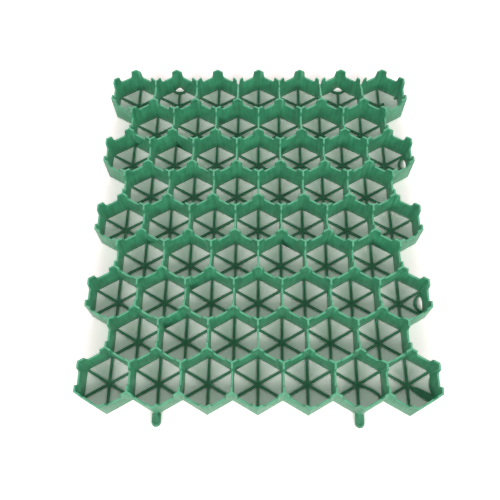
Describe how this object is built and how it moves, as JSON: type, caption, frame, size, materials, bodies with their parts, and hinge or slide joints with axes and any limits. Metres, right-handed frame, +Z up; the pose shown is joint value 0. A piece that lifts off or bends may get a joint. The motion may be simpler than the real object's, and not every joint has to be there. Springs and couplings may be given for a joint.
{
  "type": "gravel grid",
  "caption": "Moulded plastic honeycomb grid tile for gravel or grass, with castellated hexagonal walls, spoked open cells and interlocking tongues and sockets at its edges.",
  "frame": {"origin": "underside of the hub of the middle cell, at the ground", "axes": "+Z up to the castellated top, +X along the rows of cells, to the side with sockets, +Y to the back edge with sockets, so that the tongues point to -Y"},
  "size_m": [0.5074, 0.6029, 0.05],
  "materials": {
    "green_hdpe": "moulded, satin"
  },
  "bodies": {
    "root": {"honeycomb_grid": "green_hdpe"}
  },
  "joints": []
}
